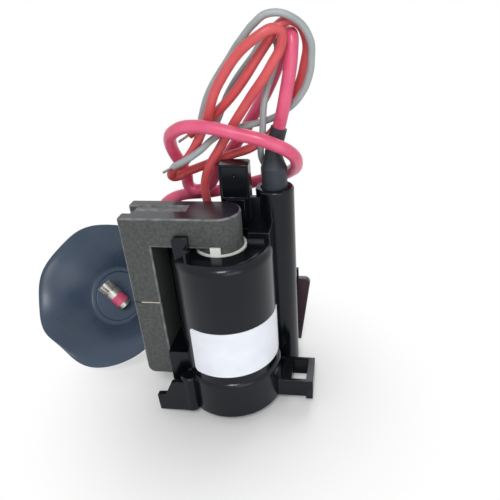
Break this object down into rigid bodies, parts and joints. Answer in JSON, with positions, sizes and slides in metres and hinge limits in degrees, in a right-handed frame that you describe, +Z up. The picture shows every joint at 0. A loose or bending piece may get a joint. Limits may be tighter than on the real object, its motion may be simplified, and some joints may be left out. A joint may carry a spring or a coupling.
{
  "type": "flyback transformer",
  "caption": "Potted line output transformer with a clamped ferrite core, insulated leads, a rubber anode cap and two trimming knobs.",
  "frame": {"origin": "centre of the round body on the plane of the circuit board", "axes": "+Z up along the body and the core's round leg, +X from the core's outer leg to the body, +Y towards the rear cover and its knobs"},
  "size_m": [0.1271, 0.0684, 0.1442],
  "materials": {
    "case_plastic": "satin",
    "cover_plastic": "satin",
    "label_paper": "matte",
    "ferrite": "satin",
    "spacer_film": "matte",
    "bobbin_plastic": "matte",
    "copper": "satin",
    "resin": "gloss",
    "tinned_metal": "satin",
    "diode_body": "matte",
    "capacitor_body": "gloss",
    "resistor_body": "matte",
    "alumina": "matte",
    "knob_plastic": "matte",
    "contact_metal": "satin",
    "boot_rubber": "matte",
    "gland_plastic": "matte",
    "anode_insulation": "satin",
    "focus_insulation": "satin",
    "screen_insulation": "satin",
    "cap_rubber": "satin",
    "clip_metal": "satin"
  },
  "bodies": {
    "transformer": {"case": "case_plastic", "side_bracket": "case_plastic", "rear_cover": "cover_plastic", "label": "label_paper", "upper_core": "ferrite", "lower_core": "ferrite", "gap_spacers": "spacer_film", "primary_bobbin": "bobbin_plastic", "primary_winding": "copper", "secondary_bobbin": "bobbin_plastic", "secondary_winding": "copper", "resin_fill": "resin", "pin_carrier": "case_plastic", "terminal_pins": "tinned_metal", "hv_diodes": "diode_body", "hv_capacitor": "capacitor_body", "bleeder_resistor": "resistor_body", "control_substrate": "alumina", "lead_boot": "boot_rubber", "lead_sleeve": "boot_rubber", "focus_gland": "gland_plastic", "screen_gland": "gland_plastic", "anode_lead": "anode_insulation", "focus_lead": "focus_insulation", "screen_lead": "screen_insulation", "focus_lead_tip": "tinned_metal", "screen_lead_tip": "tinned_metal", "anode_cap": "cap_rubber", "anode_lead_end": "anode_insulation", "anode_clip": "clip_metal"},
    "focus_knob": {"focus_knob": "knob_plastic", "focus_wiper": "contact_metal"},
    "screen_knob": {"screen_knob": "knob_plastic", "screen_wiper": "contact_metal"}
  },
  "joints": [
    {"name": "focus_turn", "type": "hinge", "parent": "transformer", "child": "focus_knob", "pos_m": [-0.012, 0.0338, 0.047], "axis": [0, 1, 0], "range_deg": [-135, 135]},
    {"name": "screen_turn", "type": "hinge", "parent": "transformer", "child": "screen_knob", "pos_m": [-0.012, 0.0338, 0.022], "axis": [0, 1, 0], "range_deg": [-135, 135]}
  ]
}
